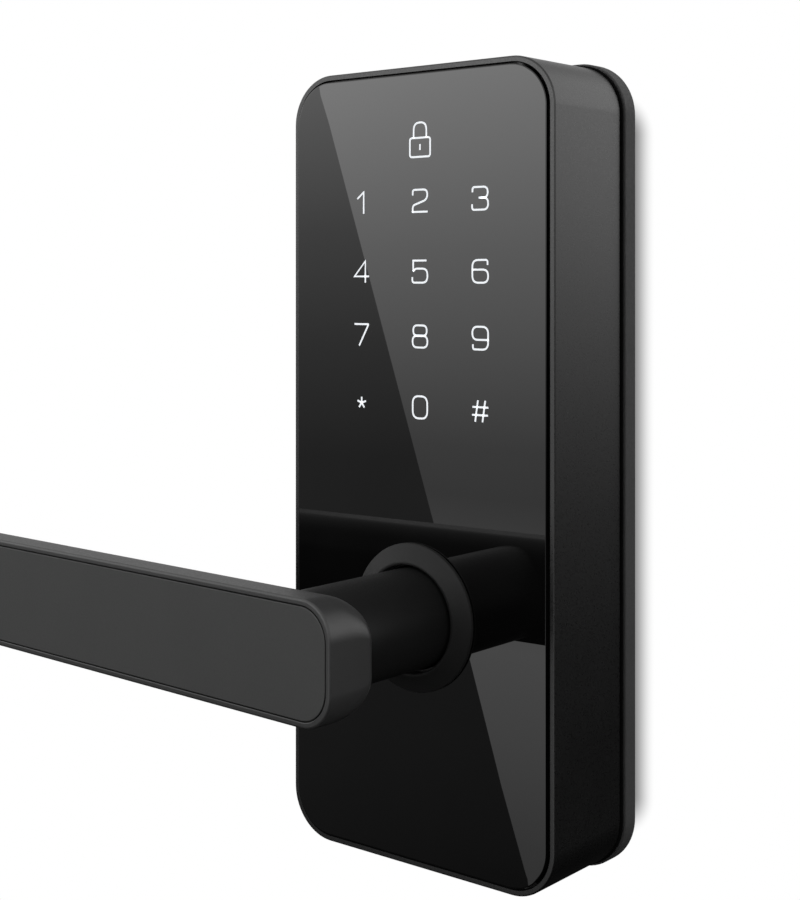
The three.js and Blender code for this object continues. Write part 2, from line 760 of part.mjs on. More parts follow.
function makeShoe() {
  const front = CLUTCH_Y - 1.4;
  const back = CLUTCH_Y + 1.4;
  const slotZ = MOTOR_Z - CAM_THROW;
  const shoe = join(
    sector(12.7, 15.2, 76, 152, front, back, 7),
    box(-3, 3, front, back, 14.2, slotZ - 1),
    slab(roundedRect(9.4, 6.6, 1.2, 0, slotZ), front, back, 0, 2),
  );
  return cut(shoe, slab(roundedRect(6.2, 3, 1.4, 0, slotZ), front - 1, back + 1, 0, 3));
}

function makeCam() {
  const cam = join(
    rod(3.2, CLUTCH_Y - 3.4, CLUTCH_Y - 1.8, 0, MOTOR_Z, 24),
    rod(1, CLUTCH_Y - 2, CLUTCH_Y + 1.2, 0, MOTOR_Z - CAM_THROW, 16),
  );
  return cut(cam, rod(1.05, CLUTCH_Y - 5, CLUTCH_Y - 2.4, 0, MOTOR_Z, 16));
}

function makeMotor() {
  return join(
    rod(6, -25.6, -17, 0, MOTOR_Z, 32),
    rod(2, -17.2, -16.2, 0, MOTOR_Z, 20),
    rod(0.8, -16.4, CLUTCH_Y - 2.7, 0, MOTOR_Z, 12),
  );
}

function makeCradle() {
  const block = slab(roundedRect(18, 13.4, 2, 0, MOTOR_Z), -25.2, -17.6, 0, 2);
  return cut(block, rod(6.3, -27, -16, 0, MOTOR_Z, 36));
}

add('spindle_hub', makeSpindleHub(), 'zinc');
add('spindle', makeSpindle(), 'steel');
add('clutch_pin', makePin(), 'steel');
add('clutch_shoe', makeShoe(), 'plastic');
add('clutch_cam', makeCam(), 'plastic');
add('clutch_motor', makeMotor(), 'steel');
add('motor_cradle', makeCradle(), 'plastic');

export default lock;
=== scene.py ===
import json
import math

import bmesh
import bpy
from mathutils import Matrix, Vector


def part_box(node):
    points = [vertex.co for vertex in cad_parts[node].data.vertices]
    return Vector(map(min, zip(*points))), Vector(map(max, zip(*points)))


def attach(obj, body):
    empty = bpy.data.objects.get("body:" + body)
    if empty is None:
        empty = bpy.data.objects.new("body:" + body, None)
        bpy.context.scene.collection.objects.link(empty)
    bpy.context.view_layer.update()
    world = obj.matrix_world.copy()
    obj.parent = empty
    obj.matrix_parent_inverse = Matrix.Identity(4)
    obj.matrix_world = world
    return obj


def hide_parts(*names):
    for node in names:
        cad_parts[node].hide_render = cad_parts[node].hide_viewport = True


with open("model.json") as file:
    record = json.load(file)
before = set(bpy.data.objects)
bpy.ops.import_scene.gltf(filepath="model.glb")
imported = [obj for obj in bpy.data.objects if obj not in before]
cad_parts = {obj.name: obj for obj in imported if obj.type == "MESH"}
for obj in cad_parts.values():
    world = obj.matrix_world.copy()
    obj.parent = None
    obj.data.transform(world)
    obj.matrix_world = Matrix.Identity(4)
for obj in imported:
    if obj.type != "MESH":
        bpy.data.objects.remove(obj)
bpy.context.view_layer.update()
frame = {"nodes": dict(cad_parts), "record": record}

MM = 0.001

# ---------------------------------------------------------------- places and sizes from the frame
HOUSING_LOW, HOUSING_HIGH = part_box("front_housing")
GLASS_LOW, GLASS_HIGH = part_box("touch_glass")
PLATE_LOW, PLATE_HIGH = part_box("back_plate")
SEAL_LOW, SEAL_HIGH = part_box("housing_seal")
GASKET_LOW, GASKET_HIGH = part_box("door_gasket")
RING_LOW, RING_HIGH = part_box("ring_bezel")
LEVER_LOW, LEVER_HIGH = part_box("lever_handle")

PANEL_Z = (HOUSING_LOW.z + HOUSING_HIGH.z) / 2
PANEL_W = HOUSING_HIGH.x - HOUSING_LOW.x
PANEL_H = HOUSING_HIGH.z - HOUSING_LOW.z
PANEL_R = 10 * MM
RIM_FRONT = HOUSING_LOW.y
RIM_W = 1.2 * MM
GLASS_GAP = 0.4 * MM
WEB_FRONT = RIM_FRONT + 1.4 * MM
WEB_BACK = WEB_FRONT + 1.7 * MM
WALL = 2 * MM
NECK_HOLE_R = 13.1 * MM
# the seal's edge past the housing shows as a near-black band, painted shade of the gap before the plate
SEAL_OUTER = 0.4 * MM  # edges of the two rubber frames, outward from the housing's outline
SEAL_INNER = -WALL
GASKET_OUTER = -0.9 * MM
GASKET_INNER = -6 * MM

# lever, as in the frame: a flat grip that leans a little towards the door
LEVER_OUT = 43 * MM
LEAN = math.radians(3.3)
LEVER_H = LEVER_HIGH.z - LEVER_LOW.z
GRIP_TIP = -112 * MM
GRIP_BUTT = 16.4 * MM
GRIP_CORNER = 7 * MM
GRIP_DEPTH = 11.5 * MM
GRIP_SIDE_ROUND = 7 * MM
GRIP_END_ROUND = 2 * MM
GRIP_FRONT_ROUND = 0.5 * MM
INLAY_EDGE = 1.35 * MM
INLAY_DEPTH = 1.2 * MM
NECK_R = 10 * MM
NECK_BORE = 7.3 * MM

CAMERA_PLACE = Vector((199.8, -276.5, 67.0)) * MM
CAMERA_TURN = math.radians(39.47)  # to the left of straight at the door
CAMERA_LENS = 63.75
CAMERA_SHIFT_Y = -0.1876

# the edge of the light card as it shows in the glass, as (x, z) places on the glass
GLARE_TOP = Vector((-25.8, 0, 107.3)) * MM
GLARE_LOW = Vector((27.9, 0, -46.8)) * MM
CARD_Y = -1.0

FLOOR_Z = -0.3
FLOOR_REACH = 3.0
DOOR_Y = 0.3 * MM
DOOR_REACH = 0.9
DOOR_TOP = 0.8

# the plate's shadow on the door, with its start and end measured outward from the plate's edge
SHADOW_DEPTH = 0.8
SHADOW_START = -2.1 * MM
SHADOW_END = 3.6 * MM
SHADOW_CORNER = 6 * MM
SHADOW_INSET = 9 * MM  # at the top and the bottom, where the shadow is shorter than the plate

SMOOTH_ANGLE = math.radians(32)


# ---------------------------------------------------------------- mesh tools
def rect_outline(width, height, radius, x=0.0, z=0.0, arc=14):
    """A function that gives the (x, z) points of a rounded rectangle at an inset.

    The long sides can have an inset of their own, and the corners a radius of their own.
    """

    def points(inset, side_inset=None, corner=None):
        side = inset if side_inset is None else side_inset
        half_w = width / 2 - inset
        half_h = height / 2 - side
        r = max(radius - inset, 0.05 * MM) if corner is None else corner
        r = min(r, half_h, half_w)
        result = []
        for k, (sx, sz) in enumerate(((1, 1), (-1, 1), (-1, -1), (1, -1))):
            for i in range(arc + 1):
                a = math.pi / 2 * (k + i / arc)
                result.append((
                    x + sx * (half_w - r) + r * math.cos(a),
                    z + sz * (half_h - r) + r * math.sin(a),
                ))
        return result

    return points


def round_outline(radius, x=0.0, z=0.0, count=64):
    """A function that gives the (x, z) points of a circle at an inset."""

    def points(inset):
        r = radius - inset
        return [
            (x + r * math.cos(2 * math.pi * i / count), z + r * math.sin(2 * math.pi * i / count))
            for i in range(count)
        ]

    return points


def add_loop(bm, points, y):
    return [bm.verts.new((x, y, z)) for x, z in points]


def bridge(bm, first, second):
    """Quads between two loops with the same number of points."""
    count = len(first)
    for i in range(count):
        j = (i + 1) % count
        bm.faces.new((first[i], first[j], second[j], second[i]))


def fill(bm, loops):
    """Fills the first loop; the other loops stay open as holes."""
    edges = []
    for loop in loops:
        for i, vert in enumerate(loop):
            pair = (vert, loop[(i + 1) % len(loop)])
            edges.append(bm.edges.get(pair) or bm.edges.new(pair))
    bmesh.ops.triangle_fill(bm, use_beauty=True, use_dissolve=False, edges=edges)


def stack(bm, outline, levels):
    """Loops of one outline at (y, inset) levels, bridged; returns the first and the last loop."""
    loops = [add_loop(bm, outline(inset), y) for y, inset in levels]
    for first, second in zip(loops, loops[1:]):
        bridge(bm, first, second)
    return loops[0], loops[-1]


def wall_levels(y_front, y_back, front_round, back_round, steps=4):
    """(y, inset) levels down a wall with a rounded front and back edge."""
    levels = []
    for i in range(steps + 1):
        a = math.pi / 2 * i / steps
        levels.append((y_front + front_round * (1 - math.cos(a)), front_round * (1 - math.sin(a))))
    for i in range(steps + 1):
        a = math.pi / 2 * i / steps
        levels.append((y_back - back_round * (1 - math.sin(a)), back_round * (1 - math.cos(a))))
    return levels


def hole_levels(y_front, y_back, chamfer):
    """(y, inset) levels down a hole with a chamfer at both ends."""
    return [
        (y_front, -chamfer),
        (y_front + chamfer, 0.0),
        (y_back - chamfer, 0.0),
        (y_back, -chamfer),
    ]


def finish_mesh(name, bm, weighted=True):
    """Turns a bmesh into an object, smooth except at its sharp edges."""
    bmesh.ops.remove_doubles(bm, verts=bm.verts, dist=1e-7)
    bmesh.ops.recalc_face_normals(bm, faces=bm.faces)
    mesh = bpy.data.meshes.new(name)
    bm.to_mesh(mesh)
    bm.free()
    obj = bpy.data.objects.new(name, mesh)
    bpy.context.scene.collection.objects.link(obj)
    shade(obj, weighted)
    return obj


def shade(obj, weighted=True):
    obj.data.polygons.foreach_set("use_smooth", [True] * len(obj.data.polygons))
    obj.data.set_sharp_from_angle(angle=SMOOTH_ANGLE)
    if weighted:
        modifier = obj.modifiers.new("weighted_normal", "WEIGHTED_NORMAL")
        modifier.keep_sharp = True
        modifier.weight = 70


def plate_mesh(name, outer, y_front, y_back, rounds, holes=(), chamfer=0.2 * MM, pockets=()):
    """A plate along Y with a rounded edge, chamfered holes and pockets sunk from its back face."""
    bm = bmesh.new()
    front, back = stack(bm, outer, wall_levels(y_front, y_back, *rounds))
    fronts, backs = [front], [back]
    for hole in holes:
        hole_front, hole_back = stack(bm, hole, hole_levels(y_front, y_back, chamfer))
        fronts.append(hole_front)
        backs.append(hole_back)
    for pocket, depth, draft in pockets:
        mouth, floor = stack(bm, pocket, [(y_back, 0.0), (y_back - depth, draft)])
        backs.append(mouth)
        fill(bm, [floor])
    fill(bm, fronts)
    fill(bm, backs)
    return finish_mesh(name, bm)


def turned_mesh(name, profile, x=0.0, z=0.0, count=96):
    """A closed profile of (radius, y) turned about an axis along Y."""
    bm = bmesh.new()
    loops = [add_loop(bm, round_outline(r, x, z, count)(0.0), y) for r, y in profile]
    for first, second in zip(loops, loops[1:] + loops[:1]):
        bridge(bm, first, second)
    return finish_mesh(name, bm)


def cut_with(obj, cutter):
    """Cuts the cutter out of obj for good, then throws the cutter away."""
    obj.modifiers.clear()
    modifier = obj.modifiers.new("cut", "BOOLEAN")
    modifier.operation = "DIFFERENCE"
    modifier.solver = "EXACT"
    modifier.object = cutter
    bpy.context.view_layer.update()
    evaluated = obj.evaluated_get(bpy.context.evaluated_depsgraph_get())
    mesh = bpy.data.meshes.new_from_object(evaluated)
    obj.modifiers.clear()
    obj.data = mesh
    mesh.name = obj.name
    bpy.data.objects.remove(cutter)
    shade(obj)


def box_mesh(name, low, high, rounding=0.0):
    """A box between two corners, with rounded edges where a rounding is given."""
    bm = bmesh.new()
    bmesh.ops.create_cube(bm, size=1)
    size = [end - start for start, end in zip(low, high)]
    centre = [(end + start) / 2 for start, end in zip(low, high)]
    bmesh.ops.scale(bm, vec=size, verts=bm.verts)
    bmesh.ops.translate(bm, vec=centre, verts=bm.verts)
    if rounding:
        bmesh.ops.bevel(bm, geom=bm.edges[:], offset=rounding, segments=4, profile=0.5,
                        affect="EDGES")
    return finish_mesh(name, bm)


# ---------------------------------------------------------------- materials
NOISE_LOW, NOISE_HIGH = 0.3, 0.7  # the range that noise mostly keeps to
CLOUD_SCALE = 60.0


def new_material(name):
    material = bpy.data.materials.new(name)
    material.use_nodes = True
    nodes = material.node_tree.nodes
    return material, nodes, material.node_tree.links, nodes["Principled BSDF"]


def bare_material(name):
    """A material without any nodes yet."""
    material, nodes, links, _ = new_material(name)
    nodes.clear()
    return material, nodes, links


def noise(nodes, links, scale, detail=3.0):
    coords = nodes.new("ShaderNodeTexCoord")
    texture = nodes.new("ShaderNodeTexNoise")
    texture.inputs["Scale"].default_value = scale
    texture.inputs["Detail"].default_value = detail
    links.new(coords.outputs["Object"], texture.inputs["Vector"])
    return texture.outputs["Fac"]


def spread(nodes, links, value, low, high):
    """A noise value mapped to between low and high."""
    node = nodes.new("ShaderNodeMapRange")
    node.inputs["From Min"].default_value = NOISE_LOW
    node.inputs["From Max"].default_value = NOISE_HIGH
    node.inputs["To Min"].default_value = low
    node.inputs["To Max"].default_value = high
    links.new(value, node.inputs["Value"])
    return node.outputs["Result"]


def two_tone(nodes, links, value, dark, light):
    """A noise value turned into a colour between dark and light."""
    ramp = nodes.new("ShaderNodeValToRGB")
    ramp.color_ramp.elements[0].position = NOISE_LOW
    ramp.color_ramp.elements[0].color = (*dark, 1)
    ramp.color_ramp.elements[1].position = NOISE_HIGH
    ramp.color_ramp.elements[1].color = (*light, 1)
    links.new(value, ramp.inputs["Fac"])
    return ramp.outputs["Color"]


def grained(name, dark, light, rough, grain_scale, grain_depth, metallic=0.0, specular=0.5):
    """A surface with a fine grain in its bump, and slow variation in colour and roughness."""
    material, nodes, links, shader = new_material(name)
    cloud = noise(nodes, links, CLOUD_SCALE, 4.0)
    grain = noise(nodes, links, grain_scale, 2.0)
    links.new(two_tone(nodes, links, cloud, dark, light), shader.inputs["Base Color"])
    links.new(spread(nodes, links, grain, rough[0], rough[1]), shader.inputs["Roughness"])
    shader.inputs["Metallic"].default_value = metallic
    shader.inputs["Specular IOR Level"].default_value = specular
    bump = nodes.new("ShaderNodeBump")
    bump.inputs["Strength"].default_value = 0.6
    bump.inputs["Distance"].default_value = grain_depth
    links.new(grain, bump.inputs["Height"])
    links.new(bump.outputs["Normal"], shader.inputs["Normal"])
    return material


def glass_material():
    """Black back-printed glass: a polished surface over an opaque black print."""
    material, nodes, links, shader = new_material("black_glass")
    smudge = noise(nodes, links, 35.0, 5.0)
    links.new(two_tone(nodes, links, smudge, (0.0012,) * 3, (0.0022,) * 3), shader.inputs["Base Color"])
    links.new(spread(nodes, links, smudge, 0.002, 0.008), shader.inputs["Roughness"])
    shader.inputs["IOR"].default_value = 1.5
    return material


def legend_material():
    material, nodes, links, shader = new_material("white_print")
    speck = noise(nodes, links, 900.0)
    white = two_tone(nodes, links, speck, (0.80, 0.82, 0.84), (0.92, 0.93, 0.94))
    links.new(white, shader.inputs["Base Color"])
    shader.inputs["Roughness"].default_value = 0.5
    shader.inputs["Emission Color"].default_value = (0.9, 0.95, 1.0, 1)
    shader.inputs["Emission Strength"].default_value = 0.55
    return material


def make_materials():
    return {
        "coat": grained("powder_coat", (0.0035,) * 3, (0.0055,) * 3, (0.26, 0.34), 2600, 0.008 * MM),
        "lever_coat": grained("lever_coat", (0.017,) * 3, (0.022,) * 3, (0.34, 0.44), 2600, 0.010 * MM),
        # painted shade: the neck gets a darker copy of the lever's coat, standing in for the shade it sits
        # in behind the grip
        "neck": grained("neck_coat_painted_shade", (0.007,) * 3, (0.010,) * 3, (0.36, 0.46), 2600, 0.010 * MM,
                        specular=0.15),
        "ring": grained("ring_coat", (0.016,) * 3, (0.020,) * 3, (0.45, 0.55), 2600, 0.010 * MM,
                        specular=0.15),
        "inlay": grained("inlay_coat", (0.0190, 0.0195, 0.0190), (0.0225, 0.0230, 0.0225), (0.5, 0.6), 3200,
                         0.012 * MM),
        "plate": grained("plate_coat", (0.050,) * 3, (0.060,) * 3, (0.6, 0.75), 1800, 0.02 * MM),
        "glass": glass_material(),
        "zinc": grained("cast_zinc", (0.33, 0.335, 0.345), (0.46, 0.47, 0.48), (0.38, 0.55), 1500,
                        0.02 * MM, metallic=0.9),
        "steel": grained("plated_steel", (0.50, 0.50, 0.51), (0.56, 0.56, 0.58), (0.26, 0.34), 900,
                         0.001 * MM, metallic=1.0),
        "rubber": grained("black_rubber", (0.010,) * 3, (0.016,) * 3, (0.75, 0.9), 1200, 0.03 * MM,
                          specular=0.3),
        # black foam seal, painted darker than the rubber as painted shade of the gap between housing and
        # plate
        "seal": grained("seal_foam_and_painted_gap_shade", (0.003,) * 3, (0.005,) * 3, (0.85, 1.0), 1500, 0.03 * MM,
                        specular=0.1),
        "adhesive": grained("foam_tape", (0.012,) * 3, (0.02,) * 3, (0.8, 0.95), 1500, 0.03 * MM,
                            specular=0.2),
        "plastic": grained("black_nylon", (0.016,) * 3, (0.024,) * 3, (0.45, 0.6), 1700, 0.012 * MM),
        "board": grained("solder_mask", (0.006, 0.06, 0.025), (0.01, 0.09, 0.035), (0.3, 0.45), 500,
                         0.01 * MM),
        "diffuser": grained("milky_plastic", (0.72, 0.73, 0.74), (0.8, 0.81, 0.82), (0.35, 0.5), 600,
                            0.005 * MM),
        "flex": grained("amber_film", (0.35, 0.16, 0.03), (0.45, 0.22, 0.05), (0.25, 0.4), 400, 0.004 * MM),
        "acetal": grained("black_acetal", (0.012,) * 3, (0.018,) * 3, (0.4, 0.55), 1500, 0.008 * MM),
        "legend": legend_material(),
    }


def paint(obj, material):
    obj.data.materials.clear()
    obj.data.materials.append(material)


# ---------------------------------------------------------------- stage, camera and light
def make_camera():
    data = bpy.data.cameras.new("camera")
    data.sensor_fit = "VERTICAL"
    data.sensor_height = 36
    data.lens = CAMERA_LENS
    data.shift_y = CAMERA_SHIFT_Y
    data.clip_start = 0.01
    camera = bpy.data.objects.new("camera", data)
    camera.location = CAMERA_PLACE
    camera.rotation_euler = (math.pi / 2, 0, CAMERA_TURN)
    bpy.context.scene.collection.objects.link(camera)
    bpy.context.scene.camera = camera


# brightness of the studio by height of view, as (sine of elevation, level)
LEFT_SKY = [(-0.40, 0.03), (-0.29, 0.13), (-0.11, 0.27), (-0.04, 0.52), (0.03, 0.95), (0.13, 2.1),
            (0.35, 1.8), (0.8, 1.2)]
RIGHT_SKY = [(-0.22, 0.0), (-0.16, 0.02), (-0.11, 0.12), (-0.06, 0.33), (0.0, 0.76), (0.13, 1.9),
             (0.35, 1.6), (0.8, 0.9)]
SOFT_SKY = [(-0.60, 0.01), (-0.1, 0.06), (0.3, 0.3), (0.9, 0.5)]
BEHIND = 0.3  # how bright the left side is behind the door plane, where only the lever's top sees it
SKY_TOP = 3.0

# brightness of the light card from its low end to its top, as (part of its height, level)
CARD_LEVELS = [(0.0, 0.12), (0.11, 0.16), (0.21, 0.235), (0.3, 0.3), (0.45, 0.17), (0.5, 0.2),
               (0.6, 0.35), (0.7, 0.5), (0.85, 0.8), (1.0, 1.05)]
CARD_STRENGTH = 4.5
CARD_WIDTH = 0.9
CARD_PAST_TOP = 0.15  # how far the card's edge runs on past the two places, in parts of their distance
CARD_PAST_LOW = 0.09


def set_stops(ramp, stops):
    elements = ramp.color_ramp.elements
    while len(elements) > 1:
        elements.remove(elements[-1])
    for i, (at, level) in enumerate(stops):
        element = elements[0] if i == 0 else elements.new(at)
        element.position = at
        element.color = (level, level, level, 1)


def height_ramp(nodes, links, height, stops):
    """A colour ramp over the sine of elevation, scaled back up to its real levels."""
    to_unit = nodes.new("ShaderNodeMapRange")
    to_unit.inputs["From Min"].default_value = -1.0
    to_unit.inputs["From Max"].default_value = 1.0
    links.new(height, to_unit.inputs["Value"])
    ramp = nodes.new("ShaderNodeValToRGB")
    links.new(to_unit.outputs["Result"], ramp.inputs["Fac"])
    set_stops(ramp, [((z + 1) / 2, level / SKY_TOP) for z, level in stops])
    gain = nodes.new("ShaderNodeVectorMath")
    gain.operation = "SCALE"
    gain.inputs["Scale"].default_value = SKY_TOP
    links.new(ramp.outputs["Color"], gain.inputs[0])
    return gain.outputs["Vector"]


def mix_colour(nodes, links, factor, first, second):
    """The first colour turning into the second; each is a socket or a fixed colour."""
    mix = nodes.new("ShaderNodeMix")
    mix.data_type = "RGBA"
    links.new(factor, mix.inputs["Factor"])
    for socket, value in ((mix.inputs["A"], first), (mix.inputs["B"], second)):
        if isinstance(value, tuple):
            socket.default_value = value
        else:
            links.new(value, socket)
    return mix.outputs["Result"]


def make_world():
    """White to the eye; reflections see a studio that is bright above and dark below."""
    world = bpy.data.worlds.new("studio")
    world.use_nodes = True
    bpy.context.scene.world = world
    nodes, links = world.node_tree.nodes, world.node_tree.links
    coords = nodes.new("ShaderNodeTexCoord")
    split = nodes.new("ShaderNodeSeparateXYZ")
    links.new(coords.outputs["Generated"], split.inputs["Vector"])
    height = split.outputs["Z"]
    rightness = nodes.new("ShaderNodeMapRange")
    rightness.interpolation_type = "SMOOTHSTEP"
    rightness.inputs["From Min"].default_value = -0.25
    rightness.inputs["From Max"].default_value = 0.25
    links.new(split.outputs["X"], rightness.inputs["Value"])
    behind = nodes.new("ShaderNodeMapRange")
    behind.inputs["From Min"].default_value = -0.1
    behind.inputs["From Max"].default_value = 0.3
    behind.inputs["To Min"].default_value = 1.0
    behind.inputs["To Max"].default_value = BEHIND
    links.new(split.outputs["Y"], behind.inputs["Value"])
    left_sky = nodes.new("ShaderNodeVectorMath")
    left_sky.operation = "SCALE"
    links.new(height_ramp(nodes, links, height, LEFT_SKY), left_sky.inputs[0])
    links.new(behind.outputs["Result"], left_sky.inputs["Scale"])
    mirror_sky = mix_colour(nodes, links, rightness.outputs["Result"], left_sky.outputs["Vector"],
                            height_ramp(nodes, links, height, RIGHT_SKY))
    path = nodes.new("ShaderNodeLightPath")
    sky = mix_colour(nodes, links, path.outputs["Is Diffuse Ray"], mirror_sky,
                     height_ramp(nodes, links, height, SOFT_SKY))
    seen = mix_colour(nodes, links, path.outputs["Is Camera Ray"], sky, (1, 1, 1, 1))
    links.new(seen, nodes["Background"].inputs["Color"])


def stage_plane(name, corners, material):
    mesh = bpy.data.meshes.new(name)
    mesh.from_pydata([tuple(c) for c in corners], [], [(0, 1, 2, 3)])
    obj = bpy.data.objects.new(name, mesh)
    bpy.context.scene.collection.objects.link(obj)
    paint(obj, material)
    return obj


def make_floor():
    material, nodes, links, shader = new_material("pale_floor")
    cloud = noise(nodes, links, 3.0)
    links.new(two_tone(nodes, links, cloud, (0.78,) * 3, (0.82,) * 3), shader.inputs["Base Color"])
    shader.inputs["Roughness"].default_value = 0.8
    reach, z = FLOOR_REACH, FLOOR_Z
    corners = [(-reach, -reach, z), (reach, -reach, z), (reach, reach, z), (-reach, reach, z)]
    floor = stage_plane("floor", corners, material)
    floor.visible_glossy = False
    floor.visible_diffuse = False


def make_door():
    """A white door face with the plate's soft shadow on it, clear when seen from behind."""
    material, nodes, links = bare_material("white_door")
    half_x = (PLATE_HIGH.x - PLATE_LOW.x) / 2 - SHADOW_CORNER
    half_z = (PLATE_HIGH.z - PLATE_LOW.z) / 2 - SHADOW_INSET - SHADOW_CORNER

    def vector_math(operation, first, second=None):
        node = nodes.new("ShaderNodeVectorMath")
        node.operation = operation
        links.new(first, node.inputs[0])
        if second is not None:
            node.inputs[1].default_value = second
        return node.outputs["Value" if operation == "LENGTH" else "Vector"]

    coords = nodes.new("ShaderNodeTexCoord")
    place = vector_math("SUBTRACT", coords.outputs["Object"], (0, 0, PANEL_Z))
    away = vector_math("SUBTRACT", vector_math("ABSOLUTE", place), (half_x, 1, half_z))
    distance = vector_math("LENGTH", vector_math("MAXIMUM", away, (0, 0, 0)))
    light = nodes.new("ShaderNodeMapRange")
    light.interpolation_type = "SMOOTHSTEP"
    light.inputs["From Min"].default_value = SHADOW_CORNER + SHADOW_START
    light.inputs["From Max"].default_value = SHADOW_CORNER + SHADOW_END
    light.inputs["To Min"].default_value = 1 - SHADOW_DEPTH
    light.inputs["To Max"].default_value = 1.0
    links.new(distance, light.inputs["Value"])
    face = nodes.new("ShaderNodeEmission")
    links.new(light.outputs["Result"], face.inputs["Strength"])
    clear = nodes.new("ShaderNodeBsdfTransparent")
    side = nodes.new("ShaderNodeNewGeometry")
    mix = nodes.new("ShaderNodeMixShader")
    output = nodes.new("ShaderNodeOutputMaterial")
    links.new(side.outputs["Backfacing"], mix.inputs["Fac"])
    links.new(face.outputs["Emission"], mix.inputs[1])
    links.new(clear.outputs["BSDF"], mix.inputs[2])
    links.new(mix.outputs["Shader"], output.inputs["Surface"])
    reach, y = DOOR_REACH, DOOR_Y
    low, high = FLOOR_Z + 1 * MM, DOOR_TOP
    corners = [(-reach, y, low), (reach, y, low), (reach, y, high), (-reach, y, high)]
    door = stage_plane("door", corners, material)
    door.visible_glossy = False
    door.visible_diffuse = False
    door.visible_shadow = False


def make_glare_card():
    """A light card in front, whose straight edge shows in the glass as a slanted line."""
    glass_y = GLASS_LOW.y
    mirrored = Vector((CAMERA_PLACE.x, 2 * glass_y - CAMERA_PLACE.y, CAMERA_PLACE.z))

    def on_card(point):
        way = Vector((point.x, glass_y, point.z)) - mirrored
        return mirrored + way * ((CARD_Y - mirrored.y) / way.y)

    top = on_card(GLARE_TOP)
    low = on_card(GLARE_LOW)
    edge = top - low
    top += edge * CARD_PAST_TOP
    low -= edge * CARD_PAST_LOW
    material, nodes, links = bare_material("card_light")
    coords = nodes.new("ShaderNodeTexCoord")
    split = nodes.new("ShaderNodeSeparateXYZ")
    height = nodes.new("ShaderNodeMapRange")
    height.inputs["From Min"].default_value = low.z
    height.inputs["From Max"].default_value = top.z
    ramp = nodes.new("ShaderNodeValToRGB")
    emission = nodes.new("ShaderNodeEmission")
    output = nodes.new("ShaderNodeOutputMaterial")
    links.new(coords.outputs["Object"], split.inputs["Vector"])
    links.new(split.outputs["Z"], height.inputs["Value"])
    links.new(height.outputs["Result"], ramp.inputs["Fac"])
    links.new(ramp.outputs["Color"], emission.inputs["Color"])
    emission.inputs["Strength"].default_value = CARD_STRENGTH
    links.new(emission.outputs["Emission"], output.inputs["Surface"])
    set_stops(ramp, CARD_LEVELS)
    across = Vector((CARD_WIDTH, 0, 0))
    card = stage_plane("glare_card", [low, low + across, top + across, top], material)
    card.visible_camera = False
    card.visible_diffuse = False
    card.visible_shadow = False


def add_light(name, data, place, target):
    """A light at a place, aimed at a target, that isn't itself seen in reflections."""
    light = bpy.data.objects.new(name, data)
    light.location = place
    light.rotation_euler = (Vector(target) - Vector(place)).to_track_quat("-Z", "Y").to_euler()
    light.visible_glossy = False
    bpy.context.scene.collection.objects.link(light)


def add_area_light(name, place, target, size, power):
    data = bpy.data.lights.new(name, "AREA")
    data.shape = "RECTANGLE"
    data.size, data.size_y = size
    data.energy = power
    add_light(name, data, place, target)


def make_lights():
    add_area_light("front_left", place=(-0.6, -0.8, 0.06), target=(0, -0.05, 0), size=(0.4, 0.25),
                   power=2.3)
    kicker = bpy.data.lights.new("lever_kicker", "SPOT")
    kicker.energy = 8.0
    kicker.spot_size = math.radians(7.5)
    kicker.spot_blend = 1.0
    kicker.shadow_soft_size = 0.03
    add_light("lever_kicker", kicker, place=(0.55, -0.22, 0.16), target=(0.008, -0.072, 0.004))
    add_area_light("behind", place=(-0.4, 0.9, -0.05), target=(0, 0, 0.03), size=(0.3, 0.3), power=4.0)


# ---------------------------------------------------------------- escutcheon pieces
def panel_outline(grow=0.0, arc=18):
    return rect_outline(PANEL_W + 2 * grow, PANEL_H + 2 * grow, PANEL_R + grow, 0, PANEL_Z, arc)


def make_housing():
    """A shell with a rim round the glass and a web behind it, and a slot underneath for the port."""
    bm = bmesh.new()
    outline = panel_outline()
    edge, inner_edge, back_edge = 0.35 * MM, 0.12 * MM, 0.25 * MM
    levels = [
        (HOUSING_HIGH.y, WALL),
        (HOUSING_HIGH.y, back_edge),
        (HOUSING_HIGH.y - back_edge, 0),
    ]
    steps = 5
    for i in range(steps + 1):
        a = math.pi / 2 * i / steps
        levels.append((RIM_FRONT + edge * (1 - math.sin(a)), edge * (1 - math.cos(a))))
    levels += [
        (RIM_FRONT, RIM_W - inner_edge),
        (RIM_FRONT + inner_edge, RIM_W),
        (WEB_FRONT, RIM_W),
    ]
    ledge = stack(bm, outline, levels)[1]
    inner_front = stack(bm, outline, [(HOUSING_HIGH.y, WALL), (WEB_BACK, WALL)])[1]
    hole_front, hole_back = stack(bm, round_outline(NECK_HOLE_R), [(WEB_FRONT, 0), (WEB_BACK, 0)])
    fill(bm, [ledge, hole_front])
    fill(bm, [inner_front, hole_back])
    housing = finish_mesh("housing_shell", bm)
    low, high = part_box("emergency_port")
    slack = 0.3 * MM
    cut_with(housing, box_mesh(
        "port_slot",
        (low.x - slack, low.y - slack, HOUSING_LOW.z - 2 * MM),
        (high.x + slack, high.y + slack, HOUSING_LOW.z + WALL + 2 * MM),
    ))
    return housing


def make_glass():
    outline = panel_outline(-RIM_W - GLASS_GAP)
    return plate_mesh("glass_pane", outline, GLASS_LOW.y, GLASS_HIGH.y, (0.22 * MM, 0.15 * MM),
                      holes=[round_outline(NECK_HOLE_R)])


